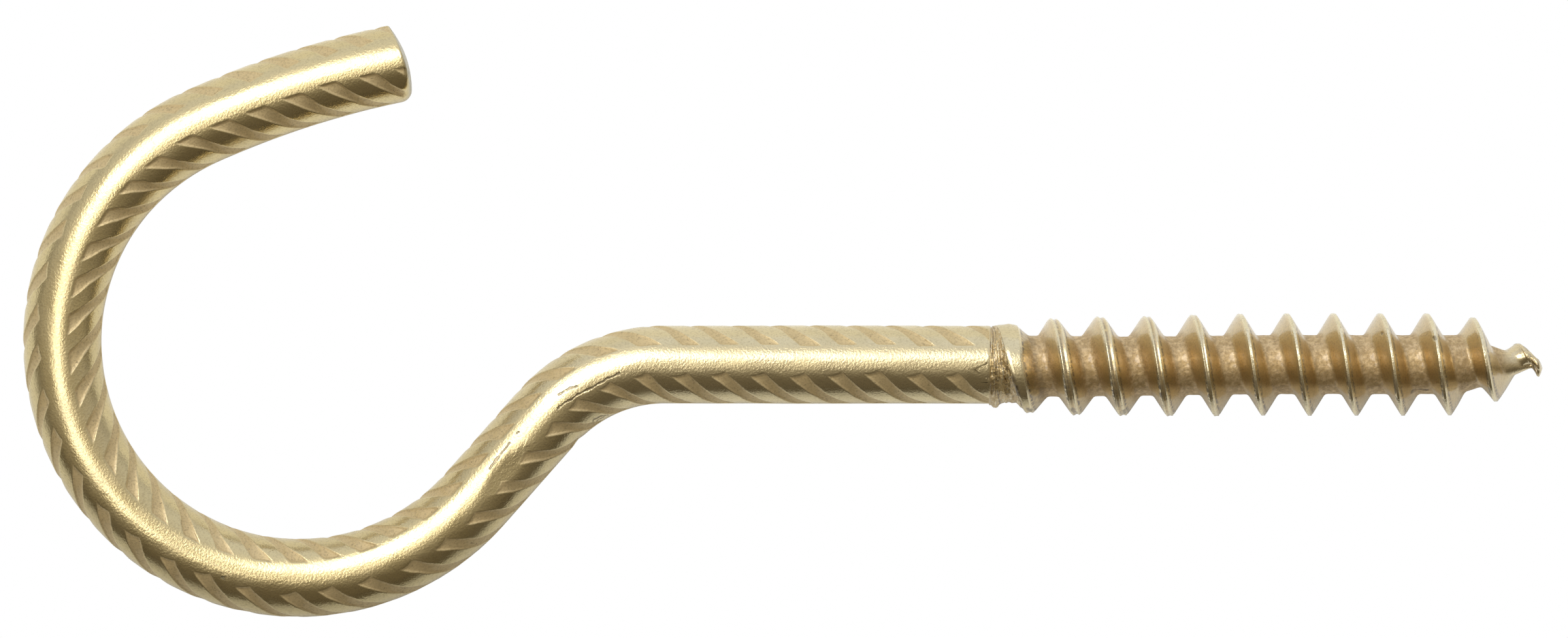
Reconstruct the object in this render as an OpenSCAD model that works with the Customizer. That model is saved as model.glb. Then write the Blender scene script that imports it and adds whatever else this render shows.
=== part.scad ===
// Screw hook made from one length of roll-indented wire: an open round hook,
// a straight shank, and a coarse rolled wood thread that runs out to a gimlet point.
// Millimetres. The hook lies flat in the XY plane, the screw axis is +X toward the
// point, and the origin is on that axis where the thread starts.

/* [Wire] */
// Diameter of the wire
wire_d = 5.24; // [4:0.02:6.4]
// Straight length between the bend and the thread
shank_len = 21.3; // [12:0.1:60]

/* [Bend] */
// Radius of the bend below the hook, on the centreline
bend_r = 10.3; // [6:0.1:16]
// Angle of the bend
bend_angle = 48.5; // [42:0.5:54]
// Straight length between the bend and the hook
neck_len = 7.1; // [4:0.1:14]

/* [Hook] */
// Inside diameter of the round part
hook_inside_d = 25.9; // [20:0.1:34]
// Angle of the round part
hook_turn = 204.5; // [196:0.5:212]
// Length of the nearly straight end
tip_len = 13.6; // [6:0.1:17]
// Angle the nearly straight end turns through
tip_turn = 12.7; // [4:0.1:18]
// Slant of the cut face away from square
cut_slant = 6; // [0:0.5:14]
// Rounding of the cut edge
cut_round = 0.3; // [0.1:0.05:0.6]
// Height of the domed cut face above its edge
cut_dome = 0.5; // [0.1:0.05:0.8]

/* [Indents] */
// Depth of the rolled indents
indent_depth = 0.12; // [0.04:0.01:0.25]
// Spacing of the indents along the wire
indent_pitch = 2.56; // [2.2:0.02:3.6]
// Width of an indent along the wire
indent_width = 1.15; // [0.8:0.05:1.6]
// Length of wire in which an indent would wind once round
indent_lead = 16; // [8:0.5:20]
// Number of rows of indents round the wire
indent_rows = 3; // [2:1:4]
// Arc of the wire that one row covers
row_arc = 78; // [50:1:80]
// Angle from the top of the wire to where a row begins at the thread
row_from = 12; // [0:1:40]
// Angle the rows turn through from the thread to the cut end
row_twist = 22; // [0:1:40]

/* [Thread] */
// Diameter over the crests
thread_d = 6.82; // [6.2:0.02:8]
// Diameter at the root
root_d = 3.9; // [3:0.05:4.5]
// Distance from one turn to the next
thread_pitch = 3.07; // [2.6:0.01:3.6]
// Distance from the start of the thread to its first crest, on top
first_crest = 2; // [1.7:0.05:2.2]
// Flat width at the root
root_flat = 1.06; // [0.8:0.02:1.2]
// Size of the rounding between root and flank
root_round = 0.27; // [0.1:0.01:0.4]
// Flat width of the first crest, which is not yet filled
wide_crest = 0.54; // [0.2:0.02:0.6]
// Flat width of the later crests
crest_flat = 0.16; // [0.1:0.02:0.4]
// Turns over which the crests narrow
crest_turns = 5; // [2:0.5:8]
// Turns in which the ridge gains half of its height
crest_rise = 0.2; // [0.1:0.05:0.6]
// Turns before the first groove goes deeper
groove_wait = 0.15; // [0:0.05:0.4]
// Turns over which the first groove reaches its depth
groove_turns = 0.6; // [0.4:0.05:1]
// Length from the first groove to the end of the point
thread_len = 36.5; // [24:0.1:60]
// Length of the tapered point
point_len = 5.5; // [4.5:0.1:9]
// Diameter of the blunt end of the point
point_d = 0.4; // [0.3:0.05:0.8]
// Turns over which the ridge fades out on the point
point_fade = 0.3; // [0.1:0.05:0.5]

/* [Hidden] */

wire_r = wire_d/2;
bend_len = bend_r*bend_angle*PI/180;
hook_len = (hook_inside_d + wire_d)/2*hook_turn*PI/180;
wire_len = shank_len + bend_len + neck_len + hook_len + tip_len;

// The centreline from the thread to the cut end, each run as [length, turn].
runs = [
    [shank_len, 0],
    [bend_len, bend_angle],
    [neck_len, 0],
    [hook_len, -hook_turn],
    [tip_len, -tip_turn]
];

// A pose is [x, y, heading]; this moves one along an arc.
function walk(p, dist, turn) =
    let (chord = abs(turn) < 0.001 ? dist : dist*sin(turn/2)/(turn*PI/360))
    [p[0] + chord*cos(p[2] + turn/2), p[1] + chord*sin(p[2] + turn/2), p[2] + turn];

// Pose of the centreline at distance s from the start of the thread.
function pose_at(s, p = [0, 0, 180], k = 0) =
    s <= runs[k][0] || k == len(runs) - 1
        ? walk(p, s, runs[k][1]*s/runs[k][0])
        : pose_at(s - runs[k][0], walk(p, runs[k][0], runs[k][1]), k + 1);

// Point on the wire: angle a is 0 on top and 90 on the outer side of the hook.
function wire_point(s, a, r) =
    let (p = pose_at(s))
    [p[0] - r*sin(a)*sin(p[2]), p[1] + r*sin(a)*cos(p[2]), r*cos(a)];

// Angles round the wire, counted from the start of the first row.
sector = 360/indent_rows;
row_lip = row_arc/20;
row_spots = [
    0,
    for (k = [0:4]) row_lip + (row_arc - 2*row_lip)*k/4,
    row_arc,
    (row_arc + sector)/2
];
spots = [for (row = [0:indent_rows - 1], o = row_spots) row*sector + o];
sides = len(spots);

// How far a ring slips along the wire so that its edges follow the slanted indents.
function slip(o) =
    let (full = -row_arc*indent_lead/360)
    o <= row_arc ? full*o/row_arc : full*(sector - o)/(sector - row_arc);
slips = [for (o = spots) slip(o%sector)];
in_row = [for (o = spots) o%sector >= row_lip && o%sector <= row_arc - row_lip];

// Ring stations across one indent: both edges of the surface and of the floor.
bank = indent_width/6;
stations = [-indent_width/2, bank - indent_width/2, indent_width/2 - bank, indent_width/2];
on_floor = [false, true, true, false];
per_indent = len(stations);

// The wire ends in a ring just before the thread; rings keep clear of both its ends.
wire_from = wire_d/24;
clear = indent_pitch/50;
indent_count = ceil((wire_len + row_arc*indent_lead/360)/indent_pitch);
rings = indent_count*per_indent + 2;

function wire_to(a) = wire_len - cut_round - wire_r*sin(a)*tan(cut_slant);
function spot_angle(s, j) = row_from + spots[j] + row_twist*s/wire_len;
function ring_at(i, j) =
    let (k = i - 1)
    indent_pitch*(floor(k/per_indent) + 1) + stations[k%per_indent] + slips[j];
function too_low(i, j) = i < 1 || ring_at(i, j) < wire_from + clear;
function too_high(i, j) =
    i == rings - 1 || ring_at(i, j) > wire_to(spot_angle(wire_len, j)) - clear;

// Points of the wire ring by ring; a ring that passes an end shares that end's points.
wire_points = [
    for (i = [0:rings - 1], j = [0:sides - 1])
        let (end_a = spot_angle(wire_len, j),
             s = too_low(i, j) ? wire_from : too_high(i, j) ? wire_to(end_a) : ring_at(i, j),
             free = !too_low(i, j) && !too_high(i, j),
             dent = free && in_row[j] && on_floor[(i - 1)%per_indent] ? indent_depth : 0)
        wire_point(s, spot_angle(s, j), wire_r - dent)
];
function wire_id(i, k) =
    let (j = k%sides)
    too_low(i, j) ? j : too_high(i, j) ? (rings - 1)*sides + j : i*sides + j;

// Cut end: rings of a dome past the rounded edge, closed on a middle point.
cap_from = rings*sides;
cap_rings = 2;
cap_points = [
    for (k = [0:cap_rings - 1], j = [0:sides - 1])
        let (a = spot_angle(wire_len, j),
             share = 1 - k/cap_rings,
             r = (wire_r - cut_round)*share,
             rise = cut_dome*(1 - share*share))
        wire_point(wire_len - r*sin(a)*tan(cut_slant) + rise, a, r),
    wire_point(wire_len + cut_dome, 0, 0)
];

// The thread is drawn in lines that wind round the axis, six to a turn. Line places are
// worked out from w, the turns wound so far: the groove lies between crests w - 1 and w.
thread_from = cap_from + len(cap_points);
per_turn = 6;
flank = (thread_pitch - root_flat - crest_flat)/2;
foot_share = 2*root_round/(thread_d - root_d);
function limit(t) = min(1, max(0, t));
function mix(a, b, t) = a + (b - a)*t;

// At the point the core tapers in a hollow curve and the crests in a full one.
hollow = 1.25;
fullness = 0.72;
function point_share(x, power) = pow(limit((thread_len - x)/point_len), power);
function taper(x, r, power) = mix(point_d/2, r, point_share(x, power));

function crest_x(w) = first_crest + thread_pitch*(w + row_from/360);
function crest_half(w) = mix(wide_crest, crest_flat, limit(w/crest_turns))/2;
function reach(w, out) = (crest_half(w) + out)*point_share(crest_x(w), fullness);
function groove_x(w, k) =
    k < 3 ? crest_x(w - 1) + reach(w - 1, [0, flank - root_round, flank][k])
    : crest_x(w) - reach(w, [flank, flank - root_round, 0][k - 3]);

// The first groove is squeezed, so that it starts at the origin.
squeeze = -groove_x(0, 0);
function line_x(i, j) =
    let (w = floor(i/per_turn) + j/sides,
         x = groove_x(w, i%per_turn),
         left = (groove_x(w, 5) - x)/(groove_x(w, 5) - groove_x(w, 0)))
    i < per_turn ? x + squeeze*(1 - w)*left : x;

// As many turns as fit before the blunt end, and then a last flank down to the core.
turns = floor((thread_len - point_d - crest_x(0))/thread_pitch);
lines = per_turn*turns + 3;

function crest_r(x, w) =
    let (wound = max(0, w))
    mix(wire_r, taper(x, thread_d/2, fullness), wound/(wound + crest_rise));
function groove_r(x, w) =
    mix(wire_r, taper(x, root_d/2, hollow), limit((w - groove_wait)/groove_turns));
function line_r(i, j) =
    let (w = floor(i/per_turn) + j/sides,
         k = i%per_turn,
         x = line_x(i, j),
         near = k < 3 ? w - 1 : w,
         height = [1, foot_share, 0, 0, foot_share, 1][k])
    mix(groove_r(x, w), crest_r(x, near), height*limit((turns - near)/point_fade));
function line_point(i, j) =
    let (a = row_from + 360*j/sides, r = line_r(i, j))
    [line_x(i, j), -r*sin(a), r*cos(a)];

thread_points = [
    for (i = [0:lines - 1], j = [0:sides - 1]) line_point(i, j),
    for (i = [lines - per_turn:lines - 1]) line_point(i, sides),
    for (j = [0:sides - 1])
        let (a = row_from + 360*j/sides)
        [thread_len, -point_d/2*sin(a), point_d/2*cos(a)],
    [thread_len, 0, 0]
];
seam_from = thread_from + lines*sides;
nose_from = seam_from + per_turn;
function line_id(i, j) =
    j < sides ? thread_from + i*sides + j
    : i + per_turn < lines ? line_id(i + per_turn, j - sides)
    : seam_from + i - lines + per_turn;

all_points = concat(wire_points, cap_points, thread_points);
// Two triangles for the patch a b c d, split along its shorter diagonal.
function patch(a, b, c, d) =
    norm(all_points[a] - all_points[c]) <= norm(all_points[b] - all_points[d])
        ? [[a, b, c], [a, c, d]]
        : [[a, b, d], [b, c, d]];
function sound(f) = f[0] != f[1] && f[1] != f[2] && f[2] != f[0];
function fan(list) = [for (k = [1:len(list) - 2]) [list[0], list[k], list[k + 1]]];

wire_faces = [
    for (i = [0:rings - 2], j = [0:sides - 1])
        each patch(wire_id(i, j), wire_id(i, j + 1), wire_id(i + 1, j + 1), wire_id(i + 1, j))
];
last_ring = (rings - 1)*sides;
cap_starts = [last_ring, for (k = [0:cap_rings - 1]) cap_from + k*sides];
cap_faces = [
    for (k = [0:cap_rings - 1], j = [0:sides - 1])
        let (n = (j + 1)%sides, a = cap_starts[k], b = cap_starts[k + 1])
        each patch(a + j, a + n, b + n, b + j),
    for (j = [0:sides - 1])
        [cap_starts[cap_rings] + j, cap_starts[cap_rings] + (j + 1)%sides, thread_from - 1]
];
// Where the groove leaves the wire the last patch also takes up the ends of the lines.
start_faces = [
    for (j = [0:sides - 2])
        each patch(j, line_id(0, j), line_id(0, j + 1), j + 1),
    each fan([
        line_id(0, sides - 1),
        for (i = [per_turn:-1:0]) line_id(i, 0),
        0,
        sides - 1
    ])
];
thread_faces = [
    for (i = [0:lines - 2], j = [0:sides - 1])
        each patch(line_id(i, j), line_id(i + 1, j), line_id(i + 1, j + 1), line_id(i, j + 1))
];
last_line = lines - 1;
nose_faces = [
    each fan([
        line_id(last_line, 1),
        line_id(last_line, 0),
        for (i = [lines - per_turn:lines - 1]) line_id(i, sides),
        nose_from,
        nose_from + 1
    ]),
    for (j = [1:sides - 1])
        each patch(line_id(last_line, j), nose_from + j, nose_from + (j + 1)%sides,
            line_id(last_line, j + 1)),
    for (j = [0:sides - 1])
        [nose_from + j, nose_from + sides, nose_from + (j + 1)%sides]
];

module screw_hook() {
    color("#cdbd8a")
        polyhedron(
            points = all_points,
            faces = [
                for (f = concat(wire_faces, cap_faces, start_faces, thread_faces, nose_faces))
                    if (sound(f)) f
            ]
        );
}

screw_hook();
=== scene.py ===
import math

import bpy
import numpy as np
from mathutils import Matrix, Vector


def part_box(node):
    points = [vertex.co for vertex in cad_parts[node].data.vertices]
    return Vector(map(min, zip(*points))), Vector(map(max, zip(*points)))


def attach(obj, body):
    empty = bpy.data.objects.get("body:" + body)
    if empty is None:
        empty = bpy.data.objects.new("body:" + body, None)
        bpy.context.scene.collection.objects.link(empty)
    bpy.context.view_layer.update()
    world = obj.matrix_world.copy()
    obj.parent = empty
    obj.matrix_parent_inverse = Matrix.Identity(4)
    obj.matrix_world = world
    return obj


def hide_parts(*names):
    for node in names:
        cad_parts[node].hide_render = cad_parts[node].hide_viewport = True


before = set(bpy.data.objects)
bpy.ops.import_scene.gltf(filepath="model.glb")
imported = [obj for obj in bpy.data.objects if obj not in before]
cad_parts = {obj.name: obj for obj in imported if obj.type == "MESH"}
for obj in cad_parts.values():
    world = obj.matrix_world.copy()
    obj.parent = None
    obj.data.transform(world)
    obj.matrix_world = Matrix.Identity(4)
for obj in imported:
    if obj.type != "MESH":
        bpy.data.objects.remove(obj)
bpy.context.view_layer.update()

mm = 0.001  # shapes are worked out in millimetres, objects are in metres
scene = bpy.context.scene


def smooth(t):
    t = np.clip(t, 0, 1)
    return t * t * (3 - 2 * t)


def mixed(a, b, t):
    return a + (b - a) * t


def hump(t):
    return np.exp(-t * t)


def between(t, rise, fall):
    # goes up to 1 over the span rise and back to 0 over the span fall
    return smooth((t - rise[0]) / (rise[1] - rise[0])) * smooth((fall[1] - t) / (fall[1] - fall[0]))


def unevenness(u, v, around, seed):
    # smooth random field from -1 to 1, one value per unit cell, closing after `around` cells in v
    along = 2048
    grid = np.random.default_rng(seed).uniform(-1, 1, (along, around))
    iu, iv = np.floor(u).astype(int), np.floor(v).astype(int)
    fu, fv = smooth(u - iu), smooth(v - iv)
    near = mixed(grid[iu % along, iv % around], grid[iu % along, (iv + 1) % around], fv)
    far = mixed(grid[(iu + 1) % along, iv % around], grid[(iu + 1) % along, (iv + 1) % around], fv)
    return mixed(near, far, fu)


def ripples(place, angle, waves, seed):
    # unevenness of several sizes, each given as length, number round the wire and share
    return sum(share * unevenness(place / length, angle % 360 / (360 / around), around, seed + k)
               for k, (length, around, share) in enumerate(waves))


# The bent wire: distance s runs from the thread's start to the cut end,
# angles round it are 0 on top and 90 on the outer side of the hook.
wire = {
    "radius": 2.586,
    "shankLength": 21.3,
    "bendRadius": 10.3,
    "bendTurn": 48.5,
    "neckLength": 7.1,
    "hookRadius": 15.55,
    "hookTurn": -204.5,
    "tipLength": 13.8,
    "tipTurn": -12.7,
    "waviness": 0.016,
    "waves": ((6, 9, 1.0), (2.2, 15, 0.5)),  # each length, number round the wire and share
    "seed": 5,
}
runLengths = np.array([
    wire["shankLength"],
    wire["bendRadius"] * math.radians(wire["bendTurn"]),
    wire["neckLength"],
    -wire["hookRadius"] * math.radians(wire["hookTurn"]),
    wire["tipLength"],
])
runTurns = np.radians([0, wire["bendTurn"], 0, wire["hookTurn"], wire["tipTurn"]])
runStarts = np.cumsum(runLengths) - runLengths
wireLength = runLengths.sum()


def alongArc(x, y, heading, distance, turn):
    chord = distance * np.sinc(turn / (2 * np.pi))
    middle = heading + turn / 2
    return x + chord * np.cos(middle), y + chord * np.sin(middle), heading + turn


poses = [(0.0, 0.0, math.pi)]
for runLength, runTurn in zip(runLengths, runTurns):
    poses.append(alongArc(*poses[-1], runLength, runTurn))
poses = np.array(poses)


def centreLine(s):
    run = np.clip(np.searchsorted(runStarts, s, side="right") - 1, 0, len(runLengths) - 1)
    along = s - runStarts[run]
    x, y, heading = np.moveaxis(poses[run], -1, 0)
    return alongArc(x, y, heading, along, runTurns[run] * along / runLengths[run])


def wirePoint(s, angle, radius):
    x, y, heading = centreLine(s)
    out = radius * np.sin(np.radians(angle))
    up = radius * np.cos(np.radians(angle))
    parts = np.broadcast_arrays(x - out * np.sin(heading), y + out * np.cos(heading), up)
    return np.stack(parts, axis=-1)


# Rolled indents: slanted marks in rows along the wire, with smooth strips between the rows.
indents = {
    "rows": 3,
    "arc": 78,
    "leadIn": 6,
    "first": 2.45,
    "pitch": 2.56,
    "lead": 16,
    "depth": 0.09,
    "startWidth": 1.3,
    "middleWidth": 1.06,
    "endWidth": 1.46,
    "bank": 0.26,
    "edgeFade": 0.11,
    "edgeRings": (-0.2, -0.07, 0, 0.09, 0.18),
    "edgeWave": 0.06,
    "waveLength": 9,
    "waveFade": 8,
    "lip": 0.004,
    "lipWidth": 0.14,
    "endBank": 4.5,
    "endSlant": 5,
    "endHollow": 1.6,
    "endMatt": 2.2,
    "startLean": (-22, -3, 7, 24),
    "endLean": (54, 71, 80, 97),
    "stripAngle": -8.5,
    "stripTwist": 22.5,
    "twistFrom": 30,
    "twistOver": 58,
    "shiftJitter": 0.05,
    "startJitter": 1.9,
    "endJitter": 0.8,
    "widthJitter": 0.06,
    "depthJitter": 0.1,
    "seed": 11,
}
sector = 360 / indents["rows"]
rowEnd = indents["arc"] + indents["leadIn"]
gapSpan = sector - indents["leadIn"] - rowEnd
firstMark = -3  # number of the lowest mark that the tables hold
markCount = math.ceil(wireLength / indents["pitch"]) + 8
draw = np.random.default_rng(indents["seed"])
markShift = draw.normal(0, indents["shiftJitter"], (markCount, indents["rows"]))
markStart = draw.normal(0, indents["startJitter"], (markCount, indents["rows"]))
markEnd = draw.normal(0, indents["endJitter"], (markCount, indents["rows"]))
markWidth = draw.normal(1, indents["widthJitter"], (markCount, indents["rows"]))
markDepth = draw.normal(1, indents["depthJitter"], (markCount, indents["rows"]))


def rowOrigin(s):
    # angle where the first row starts; the rows turn a little along the hook
    twist = indents["stripTwist"] * smooth((s - indents["twistFrom"]) / indents["twistOver"])
    halfStrip = (sector - indents["arc"]) / 2
    return indents["stripAngle"] + twist + halfStrip - sector


def inRow(o):
    row = np.floor((o + indents["leadIn"]) / sector).astype(int)
    return row % indents["rows"], o - row * sector


def slip(o):
    # how far a mark moves along the wire as it goes round it
    local = inRow(o)[1]
    back = rowEnd - (rowEnd + indents["leadIn"]) * (local - rowEnd) / gapSpan
    return -indents["lead"] / 360 * np.where(local <= rowEnd, local, back)


def rowValue(table, mark, o):
    # a mark's own number, blended to the next row's over the smooth strip
    row, local = inRow(o)
    here = table[mark - firstMark, row]
    there = table[mark - firstMark, (row + 1) % indents["rows"]]
    return mixed(here, there, smooth((local - rowEnd) / gapSpan))


def halfWidth(mark, o):
    local = inRow(o)[1]
    width = mixed(indents["startWidth"], indents["middleWidth"], smooth(2 * local / indents["arc"]))
    width = mixed(width, indents["endWidth"], smooth(2 * local / indents["arc"] - 1))
    width = mixed(width, indents["startWidth"], smooth((local - rowEnd) / gapSpan))
    return 0.5 * width * rowValue(markWidth, mark, o)


def markBegin(mark, row, v, half):
    # angle where the mark begins: uneven, slanted and a little hollow
    across = np.clip(v / half, -1, 1)
    uneven = markStart[mark - firstMark, row]
    return uneven + indents["endSlant"] * half * across + indents["endHollow"] * (1 - across**2)


def edgeWave(mark, o):
    # the long edges of a mark waver
    row, local = inRow(o)
    fade = indents["waveFade"]
    inside = smooth((local + indents["leadIn"]) / fade) * smooth((rowEnd - local) / fade)
    own = 17.0 * mark + 5.3 * row  # each mark has its own stretch of the field
    uneven = unevenness(local / indents["waveLength"] + own, 0 * local, 1, indents["seed"])
    return indents["edgeWave"] * inside * uneven


def indentRelief(s, o):
    row, local = inRow(o)
    place = (s - slip(o) - indents["first"]) / indents["pitch"]
    mark = np.clip(np.round(place).astype(int), firstMark, firstMark + markCount - 1)
    v = (place - mark) * indents["pitch"] - markShift[mark - firstMark, row] - edgeWave(mark, o)
    half = halfWidth(mark, o)
    inside = half - np.abs(v)
    begin = markBegin(mark, row, v, half)
    end = indents["arc"] + markEnd[mark - firstMark, row]
    along = smooth((local - begin) / indents["endBank"]) * smooth((end - local) / indents["endBank"])
    floor = along * smooth(inside / indents["bank"])
    nearEdge = smooth(1 + inside / indents["lipWidth"]) * (1 - smooth(inside / indents["bank"]))
    depth = indents["depth"] * markDepth[mark - firstMark, row]
    matt = smooth(indents["endMatt"] * along) * smooth(inside / indents["edgeFade"])
    return indents["lip"] * along * nearEdge - depth * floor, matt


# Marks of making on the bend: a flattened spot and a pinched inner side.
flaws = {
    "flatAt": 34.4,
    "flatLength": 4.6,
    "flatAngle": 7,
    "flatDepth": 0.13,
    "pinchAt": 29.7,
    "pinchAngle": 92,
    "pinchSpread": 30,
    "pinchLength": 0.4,
    "pinchDepth": 0.1,
    "lapWidth": 0.1,
    "laps": (  # from and to, each as distance and angle on the wire
        ((35.03, -13.1), (32.89, -15.7)),
        ((32.1, -18), (31.9, -17)),
        ((28.41, -12.4), (27.25, -6.9)),
        ((29.06, 2.7), (26.6, 7.7)),
        ((26.6, 7.7), (24.31, 3.7)),
        ((28.3, 74), (27.8, 66)),
        ((27.8, 66), (27.6, 57)),
        ((27.6, 57), (26.9, 60)),
        ((26.9, 60), (26.3, 69)),
        ((27.5, 74), (27.3, 65)),
        ((27.3, 65), (26.7, 68)),
    ),
    "scarWidth": 0.22,
    "scars": (  # on the thread, each end as distance, angle and radius
        ((-7.85, -53, 3.0), (-8.05, -60, 2.9)),
        ((-25.5, -45, 2.9), (-25.8, -43, 3.0)),
        ((-29.25, -33, 3.28), (-29.35, -30, 3.28)),
        ((-21.3, 66, 3.1), (-22.0, 52, 2.7)),
        ((-24.9, 66, 3.0), (-25.5, 52, 2.5)),
        ((-27.2, 55, 2.2), (-28.8, 58, 2.0)),
        ((-2.6, 66, 3.05), (-2.85, 76, 3.05)),
        ((-5.5, 62, 3.15), (-5.75, 73, 3.2)),
        ((-8.9, 66, 3.2), (-9.0, 77, 3.2)),
    ),
}


def wireRadius(s, o):
    angle = rowOrigin(s) + o
    relief, matt = indentRelief(s, o)
    sway = ripples(s, angle, wire["waves"], wire["seed"])
    radius = wire["radius"] - wire["waviness"] + wire["waviness"] * sway + relief
    turned = (angle - flaws["pinchAngle"] + 180) % 360 - 180
    pinch = hump(turned / flaws["pinchSpread"]) * hump((s - flaws["pinchAt"]) / flaws["pinchLength"])
    radius = radius - flaws["pinchDepth"] * pinch
    sunk = flaws["flatDepth"] * (1 - (2 * (s - flaws["flatAt"]) / flaws["flatLength"]) ** 2)
    facing = np.cos(np.radians(angle - flaws["flatAngle"]))
    plane = (wire["radius"] - sunk) / np.maximum(facing, 0.3)  # far past the wire where it turns away
    return np.where(sunk > 0, np.minimum(radius, plane), radius), matt


def laid(s, angle, radius):
    # a place as if the wire were straight
    turned = np.radians(angle)
    return [-s, -radius * np.sin(turned), radius * np.cos(turned)]


class Skin:  # one closed surface, gathered patch by patch
    marks = ("indent", "thread", "root", "crest", "seam", "torn", "cut")

    def __init__(self):
        self.points, self.straight, self.levels, self.faces, self.count = [], [], [], [], 0

    def add(self, points, s, angle, radius, **levels):
        shape = points.shape[:-1]
        straight = np.stack(np.broadcast_arrays(*laid(s, angle, radius)), axis=-1)
        self.points.append(points.reshape(-1, 3))
        self.straight.append(straight.reshape(-1, 3))
        rows = [np.broadcast_to(levels.get(name, 0.0), shape).ravel() for name in self.marks]
        self.levels.append(np.stack(rows, axis=-1))
        ids = self.count + np.arange(points[..., 0].size).reshape(shape)
        self.count += ids.size
        return ids

    def sheet(self, ids, closed):
        # quads between the rows of ids; closed joins the last column to the first
        side = np.roll(ids, -1, axis=1) if closed else ids[:, 1:]
        here = ids if closed else ids[:, :-1]
        quads = np.stack([here[:-1], side[:-1], side[1:], here[1:]], axis=-1)
        self.faces += quads.reshape(-1, 4).tolist()

    def zipped(self, left, right, leftAt, rightAt):
        # triangles between two edges whose points differ in number
        i, j = 0, 0
        while i < len(left) - 1 or j < len(right) - 1:
            stepLeft = i < len(left) - 1 and (j == len(right) - 1 or leftAt[i + 1] <= rightAt[j + 1])
            ahead = left[i + 1] if stepLeft else right[j + 1]
            self.faces.append([int(left[i]), int(right[j]), int(ahead)])
            i, j = (i + 1, j) if stepLeft else (i, j + 1)

    def fan(self, ids, middle):
        for here, ahead in zip(ids, np.roll(ids, -1)):
            self.faces.append([int(here), int(ahead), int(middle)])

    def build(self, name):
        faces = []
        for face in self.faces:
            face = [v for k, v in enumerate(face) if v != face[k - 1]]
            if len(set(face)) == len(face) > 2:
                faces.append(face[::-1])
        points = np.concatenate(self.points)
        used = np.unique(np.concatenate([np.array(face) for face in faces]))
        renumber = np.zeros(len(points), int)
        renumber[used] = np.arange(len(used))
        mesh = bpy.data.meshes.new(name)
        mesh.from_pydata((points[used] * mm).tolist(), [], [renumber[face].tolist() for face in faces])
        mesh.attributes.new("straight", "FLOAT_VECTOR", "POINT")
        straight = np.concatenate(self.straight)[used]
        mesh.attributes["straight"].data.foreach_set("vector", straight.ravel())
        for k, mark in enumerate(self.marks):
            mesh.attributes.new(mark, "FLOAT", "POINT")
            mesh.attributes[mark].data.foreach_set("value", np.concatenate(self.levels)[used, k].copy())
        mesh.polygons.foreach_set("use_smooth", np.ones(len(faces), bool))
        mesh.update()
        piece = bpy.data.objects.new(name, mesh)
        scene.collection.objects.link(piece)
        return piece


skin = Skin()

# Places round the wire, closer together where a mark begins and ends.
columnSpots = [-5, -2.5, -1, 0, 1.2, 2.4, 3.6, 5.5, 9, *range(14, 69, 5)]
columnSpots += [69, 72.5, 74.4, 75.6, 76.8, 78, 79.5, 82, 87, 93, 99, 105, 110]
columns = np.concatenate([np.array(columnSpots) + row * sector for row in range(indents["rows"])])

# Cut end: a domed, slightly slanted face with one sharp and one rounded side.
cutEnd = {
    "rise": 0.404,
    "doming": 0.0767,
    "domingUp": 0.018,
    "crownShift": 0.645,
    "sharpEdge": 0.1,
    "roundEdge": 0.62,
    "edgeSteps": 6,
    "faceSteps": 5,
}


def cutFace(out, up):
    dome = cutEnd["doming"] * (out + cutEnd["crownShift"]) ** 2 + cutEnd["domingUp"] * up**2
    return wireLength + cutEnd["rise"] - dome


def cutPlace(angle, radius):
    turned = np.radians(angle)
    return cutFace(radius * np.sin(turned), radius * np.cos(turned))


def edgeRounding(angle):
    inward = (1 - np.sin(np.radians(angle))) / 2
    return mixed(cutEnd["sharpEdge"], cutEnd["roundEdge"], inward**3)


# Screw thread: right-hand, rolled, running out of the wire and into a drawn point.
# What changes along it has a start and a length in turns, or the spans where it comes and goes.
thread = {
    "startsAt": 0.05,
    "edgeWidth": 0.04,
    "stepDown": 0.03,
    "pitch": 3.07,
    "firstCrest": 2.0,
    "crestRadius": 3.36,
    "crestRises": (  # each share of the height, start and length
        (0.1, -0.08, 0.08), (0.58, 0.05, 0.5), (0.22, 0.6, 1.2), (0.1, 2, 2.5),
    ),
    "crestWave": 0.025,
    "wavesPerTurn": 3.7,
    "rootRadius": 1.94,
    "rootSwell": 0.07,
    "swellOver": 13,
    "lipHalf": 0.24,
    "lipRound": 0.055,
    "crestHalf": 0.1,
    "lipsClose": (1.8, 4.0),
    "lipGroove": 0.06,
    "grooveSinks": (0.4, 0.3),
    "grooveDull": 0.9,
    "foldAt": -0.2,
    "foldHalf": 0.4,
    "lipSlant": 0.06,
    "polishFrom": 0.92,
    "rootReach": (0.62, 0.2),  # of a flank's height, with the lips open and closed
    # painted shade: dark lines along the lips, strongest on their lower side
    "shadowBand": (0.8, 0.9),  # of a flank's height
    "nearShadow": ((0.2, 0.35), (0.6, 0.8)),
    "shadowAngle": 33,
    "shadowSpread": 24,
    "shadowDark": 1.0,
    "firstShade": 0.36,
    "shadeTurns": ((0.9, 1.0), (1.45, 1.75)),
    "landWidth": 1.4,
    "landNarrows": 2.5,
    "landFades": (0.4, 0.4),
    "rootDeepens": (0.35, 0.7),
    "rootSpread": 1.03,
    "startSqueeze": 2.0,
    "crestGives": 0.62,
    "givesOver": 0.29,
    "offCentre": -0.11,
    "offSpans": ((0, 2.5), (8, 20)),  # in millimetres from the start
    "wedgeLines": 9,
    "tearing": 0.08,
    "tearSinks": 0.4,
    "tearTurns": ((0, 0.1), (0.5, 0.75)),
    "tears": ((0.11, 18, 1.0), (0.2, 48, 0.7)),  # each length, number round the wire and share
    "burrs": ((0.48, 97, 0.33), (1.46, -90, 0.13)),  # each place, angle and height
    "burrSpread": 20,
    "burrLength": 0.4,
    "roughness": 0.012,
    "rootGrain": ((0.35, 36, 1.0),),
    "seed": 23,
}
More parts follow.
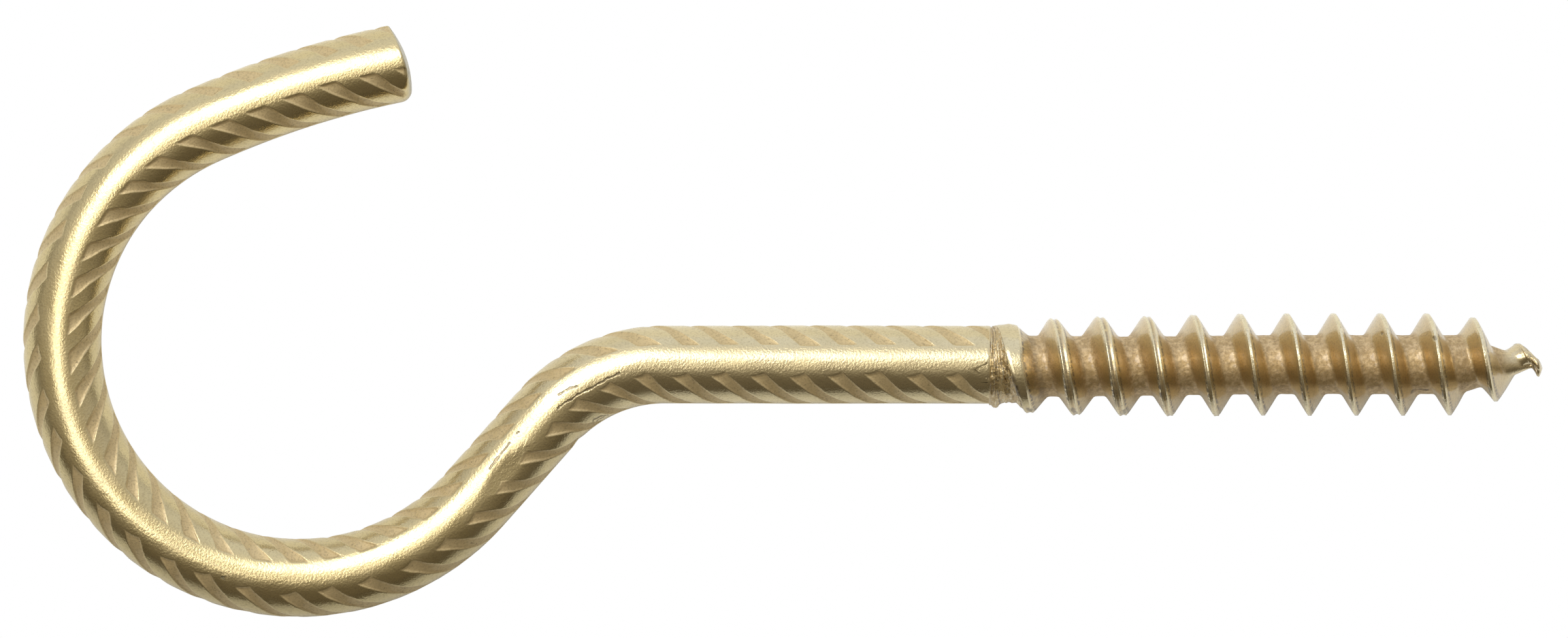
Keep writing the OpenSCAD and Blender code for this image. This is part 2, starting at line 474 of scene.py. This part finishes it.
# a flank between lip and root, as distance from the lip and share of the height
flankShape = (
    (0.06, 0.955), (0.15, 0.85), (0.27, 0.7), (0.41, 0.53), (0.56, 0.34),
    (0.69, 0.18), (0.81, 0.07), (0.93, 0.018), (1.07, 0.0),
)
# the hollow between a crest's two lips, as share of the lip distance and of the depth
hollowShape = ((-0.8, 0), (-0.58, 0.3), (-0.3, 1), (0, 1.1), (0.3, 1), (0.58, 0.3), (0.8, 0))
point = {
    "end": 36.49,
    "taperFrom": 30.6,
    "crestTaper": 0.076,
    "crestCurve": 0.0875,
    "ridgeEnds": 35.3,
    "ridgeFall": 0.9,
    "crestLeast": 0.15,
    "coreFrom": 30.9,
    "coreTaper": 0.286,
    "coreCurve": 0.0116,
    "coreLeast": 0.14,
    "roundsFrom": 34.6,
    "roundsOver": 1.2,
    "roundsBy": 0.4,
    "shinyFrom": 33.6,
    "shinyOver": 0.8,
    "shinyLevel": 0.45,
    "squeeze": 0.2,
    "nose": 0.27,
    "blob": 0.45,
    "blobAt": 36.21,
    "blobLength": 0.25,
    "rise": 0.05,
    "riseAt": 35.4,
    "riseLength": 0.5,
    "droop": 0.24,
    "droopFrom": 35.75,
    "droopOver": 0.45,
    "tornAt": 35.9,
    "tornLength": 0.2,
}


def buildWire():
    # rings beside both edges of each mark, on its middle and halfway to the next mark
    edges = (*indents["edgeRings"], indents["bank"])
    stations = [(-1, edge) for edge in edges] + [(0, 0)]
    stations += [(1, -edge) for edge in edges[::-1]] + [(0, None)]
    mark = np.arange(-1, firstMark + markCount - 2)[:, None, None]
    o = columns[None, None, :]
    row, local = inRow(o)
    half = halfWidth(mark, o)
    v = np.concatenate([
        np.full_like(half, indents["pitch"] / 2) if edge is None else side * half + edge
        for side, edge in stations
    ], axis=1)
    onMark = np.array([edge is not None for side, edge in stations])[None, :, None]

    # columns lean over to follow the uneven ends of the marks
    nextRow = (row + 1) % indents["rows"]
    begin = markBegin(mark, row, v, half) * onMark
    nextBegin = markBegin(mark, nextRow, v, half) * onMark
    lean = (0, 1, 1, 0)
    startPull = np.interp(local, indents["startLean"], lean)
    nextPull = np.interp(local - sector, indents["startLean"], lean)
    endPull = np.interp(local, indents["endLean"], lean)
    leaned = o + begin * startPull + nextBegin * nextPull
    leaned = leaned + markEnd[mark - firstMark, row] * endPull
    shift = rowValue(markShift, mark, o) + edgeWave(mark, o)
    s = indents["first"] + indents["pitch"] * mark + shift + v + slip(leaned)
    s, leaned = (np.broadcast_to(a, v.shape).reshape(-1, len(columns)) for a in (s, leaned))

    # rings that pass an end share the points of that end
    clear = 0.03
    rim, low = (np.full(len(columns), place) for place in (-thread["startsAt"], clear))
    endAngle = rowOrigin(wireLength) + columns
    high = cutPlace(endAngle, wire["radius"]) - edgeRounding(endAngle)
    radius, matt = wireRadius(s, leaned)
    angle = rowOrigin(s) + leaned
    ids = skin.add(wirePoint(s, angle, radius), s, angle, radius, indent=matt)
    ends = []
    for place in (rim, low, high):
        radius, matt = wireRadius(place, columns)
        angle = rowOrigin(place) + columns
        ends.append(skin.add(wirePoint(place, angle, radius), place, angle, radius, indent=matt))
    ids = np.where(s < low + clear, ends[1], np.where(s > high - clear, ends[2], ids))
    skin.sheet(np.concatenate([ends[0][None], ends[1][None], ids, ends[2][None]]), closed=True)
    return ends[0], ends[2]


def buildCutEnd(edge):
    angle = rowOrigin(wireLength) + columns
    rounding = edgeRounding(angle)
    relief = wire["radius"] - wireRadius(cutPlace(angle, wire["radius"]) - rounding, columns)[0]
    rings = [edge]
    for step in range(1, cutEnd["edgeSteps"] + 1):
        turn = math.pi / 2 * step / cutEnd["edgeSteps"]
        radius = wire["radius"] - rounding * (1 - math.cos(turn)) - relief * math.cos(turn)
        s = cutPlace(angle, radius) - rounding * (1 - math.sin(turn))
        rings.append(skin.add(wirePoint(s, angle, radius), s, angle, radius, cut=math.sin(turn) ** 4))
    for step in range(1, cutEnd["faceSteps"]):
        radius = (wire["radius"] - rounding) * (1 - step / cutEnd["faceSteps"])
        s = cutPlace(angle, radius)
        rings.append(skin.add(wirePoint(s, angle, radius), s, angle, radius, cut=1.0))
    skin.sheet(np.array(rings), closed=True)
    top = np.array([cutFace(0, 0)])
    middle = skin.add(wirePoint(top, 0, 0), top, 0, 0, cut=1.0)
    skin.fan(rings[-1], middle[0])


def crestRise(turns):
    # share of the full height that the crest has reached
    steps = thread["crestRises"]
    return sum(share * smooth((turns - begins) / takes) for share, begins, takes in steps)


def crestTop(x):
    past, beyond = (np.maximum(0, x - point[name]) for name in ("taperFrom", "ridgeEnds"))
    taper = point["crestTaper"] * past + point["crestCurve"] * past**2 + point["ridgeFall"] * beyond**2
    return np.maximum(point["crestLeast"], thread["crestRadius"] - taper)


def coreRadius(x):
    past = np.maximum(0, x - point["coreFrom"])
    full = thread["rootRadius"] + thread["rootSwell"] * (1 - smooth(x / thread["swellOver"]))
    taper = point["coreTaper"] * past + point["coreCurve"] * past**2
    return np.maximum(point["coreLeast"], full - taper)


def threadLines(turns, column):
    # the lines of one turn: from the last crest's lip, over the root, to the end of the next crest
    start = wire["radius"] - thread["stepDown"]
    wound = turns + column
    crestX = thread["firstCrest"] + thread["pitch"] * ((rowOrigin(0) + columns[0]) / 360 + wound)
    lastX = crestX - thread["pitch"]

    def crest(x, past):
        waves = past * thread["wavesPerTurn"]
        uneven = thread["crestWave"] * unevenness(waves, 0 * waves, 1, thread["seed"])
        return start + (crestTop(x) - start) * crestRise(past) + uneven * smooth(past)

    closeFrom, closeOver = thread["lipsClose"]
    lastClosed, closed = (smooth((past - closeFrom) / closeOver) for past in (wound - 1, wound))
    halves = thread["lipHalf"], thread["crestHalf"]
    lastLip, lip = (mixed(*halves, shut) for shut in (lastClosed, closed))
    # at first the crest's near side is still the surface of the wire
    nearLip = np.maximum(lip, thread["landWidth"] - thread["landNarrows"] * wound)
    deepFrom, deepOver = thread["rootDeepens"]
    rootX = lastX + thread["pitch"] / 2
    deepened = smooth((wound - deepFrom) / deepOver)
    lastTop, top = crest(lastX, wound - 1), crest(crestX, wound)
    pastRounds = crestX - thread["pitch"] / 2 - point["roundsFrom"]
    rounds = 1 - point["roundsBy"] * smooth(pastRounds / point["roundsOver"])
    lastSpread, spread = (mixed(thread["rootSpread"], 1, shut) for shut in (lastClosed, closed))

    lastTop = lastTop - thread["lipSlant"] * (1 - lastClosed) * smooth(wound - 1) - thread["lipRound"]
    slant = thread["lipSlant"] * (1 - closed) * smooth(wound)  # the far lip is lower
    # how far the root's look reaches up a flank
    lastReach, reach = (mixed(*thread["rootReach"], shut) for shut in (lastClosed, closed))

    # painted shade: dark lines under the lips, along the near lip on its lower side and in the fold
    # between the lips, and a darker first far flank
    shadowFrom, shadowTo = thread["shadowBand"]
    nearShadow = between(wound, *thread["nearShadow"])
    fromShadow = (rowOrigin(0) + columns[0] + 360 * column - thread["shadowAngle"] + 180) % 360 - 180
    edgeShadow = thread["shadowDark"] * hump(fromShadow / thread["shadowSpread"])
    firstShade = thread["firstShade"] * between(wound, *thread["shadeTurns"])

    def polished(share):
        return smooth((share - thread["polishFrom"]) / (1 - thread["polishFrom"]))

    lines = [(lastX + lastLip, lastTop, 1.0, 0.0, 0.0)]
    for distance, share in flankShape:
        depth = smooth(1 - share / lastReach)
        seam = 1.0 if shadowFrom < share < shadowTo else firstShade * (share < shadowFrom)
        x = lastX + lastLip + distance * lastSpread
        root = mixed(start, coreRadius(x), deepened)
        lines.append((x, mixed(root, lastTop, share**rounds), polished(share), depth, seam))
    lines.append((rootX, mixed(start, coreRadius(rootX), deepened), 0.0, 1.0, 0.0))
    for distance, share in flankShape[::-1]:
        depth = smooth(1 - share / reach)
        seam = edgeShadow if share > shadowTo else nearShadow * (share > shadowFrom)
        x = crestX - nearLip - distance * spread
        root = mixed(start, coreRadius(x), deepened)
        level = mixed(root, top - thread["lipRound"], share**rounds)
        lines.append((x, level, polished(share), depth, seam))
    lines.append((crestX - nearLip, top - thread["lipRound"], 1.0, 0.0, edgeShadow))
    sinksFrom, sinksOver = thread["grooveSinks"]
    for place, share in hollowShape:
        sunk = share * (1 - closed) * smooth((wound - sinksFrom) / sinksOver)
        level = top - thread["lipGroove"] * sunk - slant * (1 + place) / 2
        across = place * (nearLip if place < 0 else lip)
        # painted shade along the fold between the lips
        fold = np.minimum(1, sunk) * max(0, 1 - abs(place - thread["foldAt"]) / thread["foldHalf"])
        if place == hollowShape[0][0]:
            fold = np.maximum(fold, edgeShadow)
        polish = 1 - thread["grooveDull"] * smooth(1.5 * sunk)
        lines.append((crestX + across, level, polish, 0.0, fold))
    return lines


def buildThread(edge):
    start = wire["radius"] - thread["stepDown"]
    column = (columns - columns[0]) / 360
    column = np.append(column, 1.0)
    angle = rowOrigin(0) + columns[0] + 360 * column
    firstX = thread["startsAt"] + thread["edgeWidth"]
    turnCount = math.ceil((point["end"] + 1.2) / thread["pitch"])  # a little past the point
    xs, radii, crests, roots, seams = [], [], [], [], []
    for turns in range(turnCount):
        lines = threadLines(turns, column)
        perTurn = len(lines)
        grooveFrom, grooveTo = lines[0][0], lines[perTurn - len(hollowShape) - 1][0]
        # the first groove is squeezed against the start of the thread, the first crest gives way to it
        crestGives = thread["crestGives"] * np.maximum(0, 1 - column / thread["givesOver"])
        before = crestGives * (turns == 1)
        if turns == 0:
            before = thread["startSqueeze"] * (1 - column) ** 1.5 + thread["crestGives"] * column**2
        after = crestGives * (turns == 0)
        for x, radius, polish, depth, seam in lines:
            inGroove = np.clip((x - grooveFrom) / (grooveTo - grooveFrom), 0, 1)
            xs.append(x + mixed(before, after, inGroove))
            radii.append(radius + 0 * x)
            crests.append(polish + 0 * x)
            roots.append(depth + 0 * x)
            seams.append(seam + 0 * x)
    x, radius, crest, root, seam = (np.array(a) for a in (xs, radii, crests, roots, seams))
    lineCount = len(x)
    wound = np.arange(lineCount)[:, None] // perTurn + column[None]

    # run the lines together at the point and round it off
    x = point["end"] - point["squeeze"] * np.log1p(np.exp((point["end"] - x) / point["squeeze"]))
    left = np.clip((point["end"] - x) / point["nose"], 0, 1)
    radius = radius + point["blob"] * hump((x - point["blobAt"]) / point["blobLength"])
    radius = radius * np.sqrt(left * (2 - left))

    # torn start: the wedge between the wire's edge and the first groove
    added = thread["wedgeLines"]
    x = np.concatenate([[mixed(firstX, x[0], line / added) for line in range(added)], x])
    radius = np.concatenate([np.full((added, len(column)), start), radius])
    plain = np.zeros((added, len(column)))
    crest, root, seam = (np.concatenate([plain, level]) for level in (crest, root, seam))
    wound = np.concatenate([np.repeat(column[None], added, axis=0), wound])
    first = np.arange(len(x))[:, None] < perTurn - len(hollowShape) - 2 + added
    torn = first * between(column, *thread["tearTurns"]) * smooth((x - firstX) / 0.1)
    ragged = ripples(x, angle, thread["tears"], thread["seed"] + 1)
    radius = radius + thread["tearing"] * torn * (ragged - thread["tearSinks"])
    for burrAt, burrAngle, burrHeight in thread["burrs"]:
        turned = (angle - burrAngle + 180) % 360 - 180
        burr = hump(turned / thread["burrSpread"]) * hump((x - burrAt) / thread["burrLength"])
        radius = radius + burrHeight * burr * (wound < 1)
    grain = ripples(x, angle, thread["rootGrain"], thread["seed"] + 3)
    radius = radius + thread["roughness"] * grain * root * smooth(radius - point["coreLeast"])

    # the thread runs a little off centre, and its point rises and then droops
    turned = np.radians(angle)
    off = thread["offCentre"] * between(x, *thread["offSpans"])
    off = off + point["rise"] * hump((x - point["riseAt"]) / point["riseLength"])
    off = off - point["droop"] * smooth((x - point["droopFrom"]) / point["droopOver"])
    points = np.stack([x, off - radius * np.sin(turned), radius * np.cos(turned)], axis=-1)

    shiny = smooth((x - point["shinyFrom"]) / point["shinyOver"])
    fadeFrom, fadeOver = thread["landFades"]
    land = crest * (1 - smooth((wound - fadeFrom) / fadeOver))
    levels = {
        "thread": np.maximum(smooth(wound / 0.4) * (1 - land), 0.8 * torn),
        "crest": mixed(crest - 0.8 * land, point["shinyLevel"], shiny),
        # seam holds the painted shade lines of the thread
        "seam": seam,
        "root": np.maximum(root * smooth(wound) * (1 - shiny), 0.6 * torn),
        "torn": torn + hump((x - point["tornAt"]) / point["tornLength"]),
    }
    ids = skin.add(points, -x, angle + 0 * x, radius, **levels)

    last = len(columns)
    ids[added:-perTurn, last] = ids[added + perTurn:, 0]  # a turn's end is the next turn's start
    skin.sheet(np.array([ids[0, :last], edge]), closed=True)
    skin.sheet(ids[added::-1, :last], closed=False)
    skin.sheet(ids[:added - 1:-1], closed=False)
    seam = np.append(ids[:added + perTurn, 0], ids[added, last])
    seamX = np.append(x[:added + perTurn, 0], x[added, last])
    skin.zipped(ids[added::-1, last - 1], seam[::-1], -x[added::-1, last - 1], -seamX[::-1])
    tipPlace = np.array([[point["end"], off[-1, 0], 0.0]])
    tip = skin.add(tipPlace, np.array([-point["end"]]), 0, 0, thread=1.0)
    loop = np.concatenate([ids[-1, :last], ids[-1:-perTurn - 1:-1, last]])
    skin.fan(loop[::-1], tip[0])


startEdge, cutEdge = buildWire()
buildCutEnd(cutEdge)
buildThread(startEdge)
screwHook = skin.build("screw_hook_wire")
print("wire, cut end and thread:", len(screwHook.data.polygons), "faces")


class Tone:  # a shader socket that can be used in sums
    def __init__(self, tree, socket=None):
        self.tree, self.socket = tree, socket

    def node(self, kind, settings=None, inputs=None, output=0):
        made = self.tree.nodes.new(kind)
        for name, value in (settings or {}).items():
            setattr(made, name, value)
        for name, value in (inputs or {}).items():
            if isinstance(value, Tone):
                self.tree.links.new(value.socket, made.inputs[name])
            else:
                made.inputs[name].default_value = value
        return Tone(self.tree, made.outputs[output] if len(made.outputs) else None)

    def sum(self, operation, *values):
        return self.node("ShaderNodeMath", {"operation": operation}, dict(enumerate(values)))

    def __add__(self, other):
        return self.sum("ADD", self, other)

    def __radd__(self, other):
        return self.sum("ADD", other, self)

    def __sub__(self, other):
        return self.sum("SUBTRACT", self, other)

    def __rsub__(self, other):
        return self.sum("SUBTRACT", other, self)

    def __mul__(self, other):
        return self.sum("MULTIPLY", self, other)

    def __rmul__(self, other):
        return self.sum("MULTIPLY", other, self)

    def ranged(self, low, high, toLow=0.0, toHigh=1.0):
        values = {"Value": self, "From Min": low, "From Max": high, "To Min": toLow, "To Max": toHigh}
        return self.node("ShaderNodeMapRange", {"interpolation_type": "SMOOTHSTEP"}, values)

    def tinted(self, colour, amount):
        return self.node("ShaderNodeMix", {"data_type": "RGBA"}, {0: amount, 6: self, 7: colour}, 2)

    def stretched(self, factors):
        return self.node("ShaderNodeVectorMath", {"operation": "MULTIPLY"}, {0: self, 1: factors})

    def noise(self, scale, detail=2.0, roughness=0.5):
        return self.node("ShaderNodeTexNoise", {}, {
            "Vector": self, "Scale": scale, "Detail": detail, "Roughness": roughness})

    def nearLine(self, start, end, width):
        # 1 on the line between two places, 0 from a distance of width on
        run = np.subtract(end, start)
        past = self.node("ShaderNodeVectorMath", {"operation": "SUBTRACT"}, {0: self, 1: tuple(start)})
        across = tuple(run / np.dot(run, run))
        share = self.node("ShaderNodeVectorMath", {"operation": "DOT_PRODUCT"}, {0: past, 1: across}, 1)
        share = self.node("ShaderNodeClamp", {}, {"Value": share})
        nearest = self.node("ShaderNodeVectorMath", {"operation": "SCALE"}, {
            0: tuple(run), "Scale": share})
        away = self.node("ShaderNodeVectorMath", {"operation": "DISTANCE"}, {0: past, 1: nearest}, 1)
        return away.ranged(width, 0.3 * width)

    def read(self, name, output):
        return self.node("ShaderNodeAttribute", {"attribute_name": name}, {}, output)


def rgba(colour):
    return (*colour, 1.0)


plating = {
    "land": (0.68, 0.565, 0.33),
    "hookLand": (0.645, 0.52, 0.267),
    "hookFrom": 18,
    "hookTo": 42,
    "tarnish": (0.58, 0.47, 0.255),
    "indentFloor": (0.65, 0.515, 0.28),
    "flank": (0.58, 0.42, 0.18),
    "root": (0.46, 0.32, 0.145),
    "rootSheen": (0.66, 0.49, 0.265),
    "crest": (0.77, 0.66, 0.42),
    "dirtAndShade": (0.16, 0.12, 0.07),
    "cut": (0.56, 0.51, 0.39),
    "cutRoughness": 0.45,
    "landRoughness": 0.2,
    "indentRoughness": 0.6,
    "flankRoughness": 0.28,
    "rootRoughness": 0.54,
    "mottleDulls": 0.08,
    "specksDull": 0.05,
    "dirtDulls": 0.2,
    "crestGloss": 0.06,
    "mottling": 0.5,
    "mottleScale": 0.45,
    "speckScale": 5.5,
    "fineScale": 7.0,
    "streakScale": 1.6,
    "hammerScale": 3.2,
    "tearScale": 2.0,
    "speckle": 0.2,
    "scarDirt": 0.7,
    "cutDirt": 0.4,
    "tornDirt": 0.6,
    "tornTint": 0.7,
    "tornGlint": 0.26,
    "wander": 0.3,
    "wanderScale": 2.5,
    "grain": 0.016,
    "streaks": 0.0015,
    "indentGrain": 0.008,
    "rootGrain": 0.024,
    "tornGrain": 0.08,
    "cutGrain": 0.03,
    "lapDepth": 0.03,
    "lacquer": 0.14,
    "threadLacquer": 0.75,
    "lacquerRoughness": 0.12,
    "lacquerIndex": 2.1,
    "glaze": 0.06,
}


def platedMetal():
    made = bpy.data.materials.new("plated_metal")
    made.use_nodes = True
    made.node_tree.nodes.clear()
    base = Tone(made.node_tree)
    straight = base.read("straight", 1)
    indent, inThread, root, crest, seam, torn, cut = (base.read(name, 2) for name in Skin.marks)
    mottle = straight.noise(plating["mottleScale"], 3.0).ranged(0.35, 0.7)
    specks = straight.noise(plating["speckScale"], 3.0, 0.6)
    fine = straight.noise(plating["fineScale"], 2.0)
    streak = straight.stretched((0.25, 3.0, 3.0)).noise(plating["streakScale"], 3.0)
    hammered = straight.noise(plating["hammerScale"], 3.0, 0.6)
    ragged = straight.stretched((4.5, 0.9, 0.9)).noise(plating["tearScale"], 3.0, 0.6)

    # hairline laps and scars waver a little
    wander = straight.node("ShaderNodeTexNoise", {}, {
        "Vector": straight, "Scale": plating["wanderScale"]}, 1)
    wander = wander.node("ShaderNodeVectorMath", {"operation": "SUBTRACT"}, {
        0: wander, 1: (0.5, 0.5, 0.5)})
    wander = wander.node("ShaderNodeVectorMath", {"operation": "MULTIPLY_ADD"}, {
        0: wander, 1: (plating["wander"],) * 3, 2: straight})
    lines = []
    for lap in flaws["laps"]:
        ends = [laid(s, angle, wire["radius"]) for s, angle in lap]
        lines.append(wander.nearLine(*ends, flaws["lapWidth"]))
    for scar in flaws["scars"]:
        lines.append(wander.nearLine(*(laid(*end) for end in scar), flaws["scarWidth"]))
    scarred = lines[0]
    for line in lines[1:]:
        scarred = scarred.sum("MAXIMUM", scarred, line)

    along = straight.node("ShaderNodeSeparateXYZ", {}, {"Vector": straight}, "X")
    colour = base.node("ShaderNodeMix", {"data_type": "RGBA"}, {
        0: along.ranged(-plating["hookFrom"], -plating["hookTo"]),
        6: rgba(plating["land"]), 7: rgba(plating["hookLand"])}, 2)
    colour = colour.tinted(rgba(plating["tarnish"]), plating["mottling"] * mottle)
    colour = colour.tinted(rgba(plating["flank"]), inThread)
    # darker deep in the groove: partly the root's own matte tone, partly painted shade between the
    # crests
    colour = colour.tinted(rgba(plating["root"]), root)
    colour = colour.tinted(rgba(plating["rootSheen"]), root * hammered.ranged(0.38, 0.68))
    colour = colour.tinted(rgba(plating["crest"]), crest)
    colour = colour.tinted(rgba(plating["flank"]), plating["tornTint"] * torn)
    colour = colour.tinted(rgba(plating["crest"]), torn * ragged.ranged(0.54, 0.64))
    colour = colour.tinted(rgba(plating["indentFloor"]), indent)
    colour = colour.tinted(rgba(plating["cut"]), cut)
    # darkening from real marks (specks, laps, scars, cut and torn metal) and from painted shade along
    # the thread's seam lines
    dirtAndShadeLevel = specks.ranged(0.56, 0.72) * (0.1 + 0.35 * indent + 0.3 * inThread + 0.3 * torn)
    for more in (
        plating["speckle"] * fine.ranged(0.46, 0.68),
        plating["scarDirt"] * scarred,
        # painted shade under and between the thread's lips
        seam * streak.ranged(0.36, 0.56),
        plating["cutDirt"] * cut * hammered.ranged(0.46, 0.66),
        plating["tornDirt"] * torn * ragged.ranged(0.42, 0.34),
    ):
        dirtAndShadeLevel = dirtAndShadeLevel.sum("MAXIMUM", dirtAndShadeLevel, more)
    colour = colour.tinted(rgba(plating["dirtAndShade"]), dirtAndShadeLevel)

    roughness = plating["landRoughness"] + plating["mottleDulls"] * mottle
    roughness = roughness + plating["specksDull"] * specks
    roughness = roughness + (plating["indentRoughness"] - plating["landRoughness"]) * indent
    duller = plating["flankRoughness"] - plating["landRoughness"]
    roughness = roughness + duller * inThread * (1 - crest)
    roughness = roughness + (plating["rootRoughness"] - plating["flankRoughness"]) * root
    roughness = roughness + (plating["cutRoughness"] - plating["landRoughness"]) * cut
    roughness = roughness + plating["dirtDulls"] * dirtAndShadeLevel - plating["crestGloss"] * crest
    roughness = roughness - plating["tornGlint"] * torn * specks.ranged(0.4, 0.6)
    metallic = 1 - plating["glaze"] * inThread * (1 - crest) * (1 - 0.5 * root)

    height = plating["grain"] * fine + plating["streaks"] * streak * (1 - inThread)
    height = height + plating["indentGrain"] * specks * indent
    height = height + plating["rootGrain"] * hammered * root
    height = height + plating["tornGrain"] * (ragged + hammered) * torn
    height = height + plating["cutGrain"] * hammered * cut - plating["lapDepth"] * scarred
    bump = base.node("ShaderNodeBump", {}, {"Strength": 1.0, "Distance": mm, "Height": height})
    more = (1 - plating["lacquer"]) * plating["threadLacquer"]
    lacquer = plating["lacquer"] + more * inThread * (1 - 0.85 * root) * (1 - 0.6 * crest)
    shader = base.node("ShaderNodeBsdfPrincipled", {}, {
        "Base Color": colour, "Roughness": roughness, "Metallic": metallic, "Normal": bump,
        "Coat Weight": lacquer, "Coat Roughness": plating["lacquerRoughness"],
        "Coat IOR": plating["lacquerIndex"]})
    base.node("ShaderNodeOutputMaterial", {}, {"Surface": shader})
    return made


screwHook.data.materials.append(platedMetal())
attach(screwHook, "root")
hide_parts("screw_hook")
print("plating done")

# Pale floor and a soft studio: a key lamp to the upper left, a smaller lamp overhead,
# and surroundings that fade to the near side.
studio = {
    "floorSize": 6.0,
    "floorGap": 0.03,
    "floorColour": (0.97, 1.0, 1.0),
    "floorShade": (0.5, 0.515, 0.52),
    "shadeFrom": -36,
    "shadeTo": 6,
    "floorGlow": 0.08,
    "nearSide": -0.62,
    "farSide": 1.04,
    "nearColour": (0.16, 0.138, 0.103),
    "sideColour": (0.46, 0.422, 0.345),
    "farColour": (1.03, 1.11, 1.28),
    "bandColour": (0.05, 0.04, 0.024),
    "bandTop": 0.5,
    "bandFoot": 0.12,
    "bandStrength": 0.65,
    "lampDistance": 1.0,
    # each lamp's name, tilt to the far side, lean to the left, width, length along its lean and power
    "lamps": (
        ("key", 25, 18, 0.6, 0.6, 4.4),
        ("overhead", -5, 19, 0.26, 0.5, 1.1),
    ),
    "view": (-13.42, 3.0),
    "viewDistance": 900,
    "viewWidth": 103.2,
}


def makeFloor():
    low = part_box("screw_hook")[0].z - studio["floorGap"] * mm
    half = studio["floorSize"] / 2
    mesh = bpy.data.meshes.new("floor")
    corners = [(-half, -half, low), (half, -half, low), (half, half, low), (-half, half, low)]
    mesh.from_pydata(corners, [], [(0, 1, 2, 3)])
    made = bpy.data.materials.new("pale_floor")
    made.use_nodes = True
    made.node_tree.nodes.clear()
    base = Tone(made.node_tree)
    place = base.node("ShaderNodeNewGeometry", {}, {}, "Position")
    place = base.node("ShaderNodeSeparateXYZ", {}, {"Vector": place}, "Y")
    far = place.ranged(studio["shadeFrom"] * mm, studio["shadeTo"] * mm)
    pale = base.node("ShaderNodeMix", {"data_type": "RGBA"}, {
        0: far, 6: rgba(studio["floorShade"]), 7: rgba(studio["floorColour"])}, 2)
    lit = base.node("ShaderNodeBsdfPrincipled", {}, {
        "Base Color": pale, "Roughness": 0.9, "Specular IOR Level": 0.0,
        "Emission Color": (1, 1, 1, 1), "Emission Strength": studio["floorGlow"]})
    white = base.node("ShaderNodeEmission", {}, {"Color": (1, 1, 1, 1), "Strength": 1.0})
    seen = base.node("ShaderNodeLightPath", {}, {}, "Is Camera Ray")  # pure white, free of shadows
    shown = base.node("ShaderNodeMixShader", {}, {0: seen, 1: lit, 2: white})
    base.node("ShaderNodeOutputMaterial", {}, {"Surface": shown})
    mesh.materials.append(made)
    floor = bpy.data.objects.new("floor", mesh)
    scene.collection.objects.link(floor)


def makeLight():
    world = bpy.data.worlds.new("studio")
    world.use_nodes = True
    world.node_tree.nodes.clear()
    base = Tone(world.node_tree)
    direction = base.node("ShaderNodeTexCoord", {}, {}, "Generated")
    across = base.node("ShaderNodeSeparateXYZ", {}, {"Vector": direction}, "Y")
    toSide = base.node("ShaderNodeMapRange", {}, {
        "Value": across, "From Min": studio["nearSide"], "From Max": 0.0})
    toFar = base.node("ShaderNodeMapRange", {}, {
        "Value": across, "From Min": 0.0, "From Max": studio["farSide"]})
    soft = base.node("ShaderNodeMix", {"data_type": "RGBA"}, {
        0: toSide, 6: rgba(studio["nearColour"]), 7: rgba(studio["sideColour"])}, 2)
    soft = soft.tinted(rgba(studio["farColour"]), toFar)
    height = base.node("ShaderNodeSeparateXYZ", {}, {"Vector": direction}, "Z")
    band = studio["bandStrength"] * height.ranged(studio["bandTop"], studio["bandFoot"]) * (1 - toFar)
    soft = soft.tinted(rgba(studio["bandColour"]), band)
    seen = base.node("ShaderNodeLightPath", {}, {}, "Is Camera Ray")
    shown = base.node("ShaderNodeBackground", {}, {"Color": soft.tinted((1, 1, 1, 1), seen)})
    base.node("ShaderNodeOutputWorld", {}, {"Surface": shown})
    scene.world = world

    for name, tilt, lean, width, length, power in studio["lamps"]:
        light = bpy.data.lights.new(name, "AREA")
        light.shape = "ELLIPSE"
        light.size, light.size_y = width, length
        light.energy = power
        lamp = bpy.data.objects.new(name, light)
        away = np.array([-math.tan(math.radians(lean)), math.tan(math.radians(tilt)), 1.0])
        lamp.location = (away / np.linalg.norm(away) * studio["lampDistance"]).tolist()
        lamp.rotation_mode = "QUATERNION"
        lamp.rotation_quaternion = lamp.location.to_track_quat("Z", "Y")
        scene.collection.objects.link(lamp)


def makeCamera():
    # straight down on the hook's flat side
    lens = bpy.data.cameras.new("camera")
    lens.sensor_width = 36
    lens.lens = lens.sensor_width * studio["viewDistance"] / studio["viewWidth"]
    camera = bpy.data.objects.new("camera", lens)
    x, y = studio["view"]
    camera.location = (x * mm, y * mm, studio["viewDistance"] * mm)
    scene.collection.objects.link(camera)
    scene.camera = camera


makeFloor()
makeLight()
makeCamera()
scene.view_settings.view_transform = "Standard"
print("studio done")
